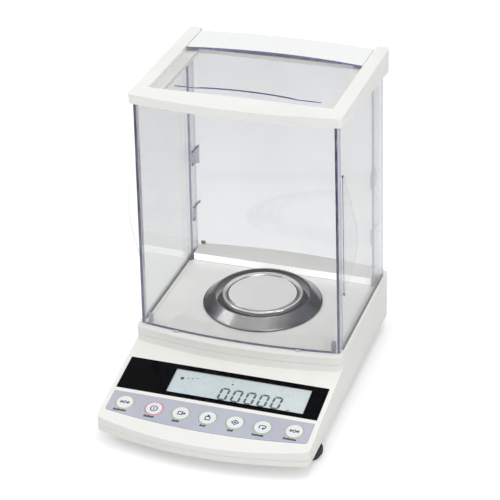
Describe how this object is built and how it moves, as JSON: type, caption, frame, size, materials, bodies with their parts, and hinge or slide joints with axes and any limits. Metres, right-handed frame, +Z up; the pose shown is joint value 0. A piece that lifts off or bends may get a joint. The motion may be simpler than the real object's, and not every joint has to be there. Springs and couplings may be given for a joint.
{
  "type": "analytical balance",
  "caption": "Analytical balance with a sliding-door clear draught shield, round steel pan, sloping display panel, membrane keys and levelling feet.",
  "frame": {"origin": "on the surface it stands on, under the middle of its footprint", "axes": "+X to the right seen from the front, +Y to the back, +Z up"},
  "size_m": [0.2298, 0.312, 0.315],
  "materials": {
    "housing": "fine-grained moulded ABS, satin",
    "black_panel": "gloss, back-printed",
    "keypad_film": "fine matt polyester film",
    "key_white": "satin",
    "lcd_glass": "reflective liquid-crystal glass",
    "clear_acrylic": "polished, clear",
    "frosted_acrylic": "frosted translucent white",
    "stainless_steel": "satin, turned",
    "floor_paint": "satin",
    "cast_aluminium": "as cast",
    "sensor_alloy": "machined",
    "circuit_board": "solder mask",
    "black_plastic": "matt",
    "black_rubber": "matt",
    "screw_steel": "zinc plated",
    "level_fluid": "clear, tinted"
  },
  "bodies": {
    "base": {"lower_case": "housing", "upper_case": "housing", "deck_cover": "housing", "chamber_floor": "floor_paint", "rear_ledge": "housing", "level_vial": "level_fluid", "display_bezel": "black_panel", "display_window": "clear_acrylic", "lcd_panel": "lcd_glass", "display_board": "circuit_board", "keypad_film": "keypad_film", "key_board": "circuit_board", "chassis": "cast_aluminium", "force_sensor": "sensor_alloy", "overload_stop": "cast_aluminium", "main_board": "circuit_board", "serial_port": "black_plastic", "power_inlet": "black_plastic", "front_pane": "clear_acrylic", "rear_pane": "clear_acrylic", "left_pane_clip": "black_plastic", "right_pane_clip": "black_plastic", "top_frame": "housing", "case_screw_front_left": "screw_steel", "case_screw_front_right": "screw_steel", "case_screw_back_left": "screw_steel", "case_screw_back_right": "screw_steel"},
    "left_door": {"left_door": "clear_acrylic", "left_door_grip": "clear_acrylic"},
    "right_door": {"right_door": "clear_acrylic", "right_door_grip": "clear_acrylic"},
    "lid": {"lid_pane": "clear_acrylic", "lid_handle": "frosted_acrylic"},
    "spindle": {"pan_spindle": "stainless_steel"},
    "pan_support": {"pan_support": "stainless_steel"},
    "pan": {"weighing_pan": "stainless_steel"},
    "draught_ring": {"draught_ring": "stainless_steel"},
    "key_tare_left": {"key_tare_left": "key_white"},
    "key_power": {"key_power": "key_white"},
    "key_print": {"key_print": "key_white"},
    "key_calibrate": {"key_calibrate": "key_white"},
    "key_set": {"key_set": "key_white"},
    "key_function": {"key_function": "key_white"},
    "key_tare_right": {"key_tare_right": "key_white"},
    "foot_front_left": {"foot_pad_front_left": "black_rubber"},
    "knob_front_left": {"foot_knob_front_left": "black_plastic"},
    "foot_front_right": {"foot_pad_front_right": "black_rubber"},
    "knob_front_right": {"foot_knob_front_right": "black_plastic"},
    "foot_back_left": {"foot_pad_back_left": "black_rubber"},
    "knob_back_left": {"foot_knob_back_left": "black_plastic"},
    "foot_back_right": {"foot_pad_back_right": "black_rubber"},
    "knob_back_right": {"foot_knob_back_right": "black_plastic"}
  },
  "joints": [
    {"name": "left_door_slide", "type": "slide", "parent": "base", "child": "left_door", "axis": [0, 1, 0], "range_m": [0, 0.105]},
    {"name": "right_door_slide", "type": "slide", "parent": "base", "child": "right_door", "axis": [0, 1, 0], "range_m": [0, 0.105]},
    {"name": "lid_slide", "type": "slide", "parent": "base", "child": "lid", "axis": [0, 1, 0], "range_m": [0, 0.1]},
    {"name": "pan_travel", "type": "slide", "parent": "base", "child": "spindle", "axis": [0, 0, 1], "range_m": [-0.0003, 0], "stiffness_N_per_m": 20000, "springref_m": 0.0005},
    {"name": "pan_support_lift", "type": "slide", "parent": "spindle", "child": "pan_support", "axis": [0, 0, 1], "range_m": [0, 0.05]},
    {"name": "pan_lift", "type": "slide", "parent": "pan_support", "child": "pan", "axis": [0, 0, 1], "range_m": [0, 0.05]},
    {"name": "draught_ring_lift", "type": "slide", "parent": "base", "child": "draught_ring", "axis": [0, 0, 1], "range_m": [0, 0.05]},
    {"name": "key_tare_left_press", "type": "slide", "parent": "base", "child": "key_tare_left", "axis": [0, 0.1874, -0.9823], "range_m": [0, 0.0005], "stiffness_N_per_m": 2500, "springref_m": -0.0002},
    {"name": "key_power_press", "type": "slide", "parent": "base", "child": "key_power", "axis": [0, 0.1874, -0.9823], "range_m": [0, 0.0005], "stiffness_N_per_m": 2500, "springref_m": -0.0002},
    {"name": "key_print_press", "type": "slide", "parent": "base", "child": "key_print", "axis": [0, 0.1874, -0.9823], "range_m": [0, 0.0005], "stiffness_N_per_m": 2500, "springref_m": -0.0002},
    {"name": "key_calibrate_press", "type": "slide", "parent": "base", "child": "key_calibrate", "axis": [0, 0.1874, -0.9823], "range_m": [0, 0.0005], "stiffness_N_per_m": 2500, "springref_m": -0.0002},
    {"name": "key_set_press", "type": "slide", "parent": "base", "child": "key_set", "axis": [0, 0.1874, -0.9823], "range_m": [0, 0.0005], "stiffness_N_per_m": 2500, "springref_m": -0.0002},
    {"name": "key_function_press", "type": "slide", "parent": "base", "child": "key_function", "axis": [0, 0.1874, -0.9823], "range_m": [0, 0.0005], "stiffness_N_per_m": 2500, "springref_m": -0.0002},
    {"name": "key_tare_right_press", "type": "slide", "parent": "base", "child": "key_tare_right", "axis": [0, 0.1874, -0.9823], "range_m": [0, 0.0005], "stiffness_N_per_m": 2500, "springref_m": -0.0002},
    {"name": "foot_front_left_slide", "type": "slide", "parent": "base", "child": "foot_front_left", "axis": [0, 0, -1], "range_m": [-0.002, 0.004]},
    {"name": "knob_front_left_turn", "type": "hinge", "parent": "foot_front_left", "child": "knob_front_left", "pos_m": [-0.0945, -0.103, 0.006], "axis": [0, 0, 1], "range_deg": [-1440, 720]},
    {"name": "foot_front_right_slide", "type": "slide", "parent": "base", "child": "foot_front_right", "axis": [0, 0, -1], "range_m": [-0.002, 0.004]},
    {"name": "knob_front_right_turn", "type": "hinge", "parent": "foot_front_right", "child": "knob_front_right", "pos_m": [0.0945, -0.103, 0.006], "axis": [0, 0, 1], "range_deg": [-1440, 720]},
    {"name": "foot_back_left_slide", "type": "slide", "parent": "base", "child": "foot_back_left", "axis": [0, 0, -1], "range_m": [-0.002, 0.004]},
    {"name": "knob_back_left_turn", "type": "hinge", "parent": "foot_back_left", "child": "knob_back_left", "pos_m": [-0.085, 0.123, 0.006], "axis": [0, 0, 1], "range_deg": [-1440, 720]},
    {"name": "foot_back_right_slide", "type": "slide", "parent": "base", "child": "foot_back_right", "axis": [0, 0, -1], "range_m": [-0.002, 0.004]},
    {"name": "knob_back_right_turn", "type": "hinge", "parent": "foot_back_right", "child": "knob_back_right", "pos_m": [0.085, 0.123, 0.006], "axis": [0, 0, 1], "range_deg": [-1440, 720]}
  ],
  "couplings": [
    {"joint": "knob_front_left_turn", "follows": "foot_front_left_slide", "rad_per_m": -6283.2},
    {"joint": "knob_front_right_turn", "follows": "foot_front_right_slide", "rad_per_m": -6283.2},
    {"joint": "knob_back_left_turn", "follows": "foot_back_left_slide", "rad_per_m": -6283.2},
    {"joint": "knob_back_right_turn", "follows": "foot_back_right_slide", "rad_per_m": -6283.2}
  ]
}
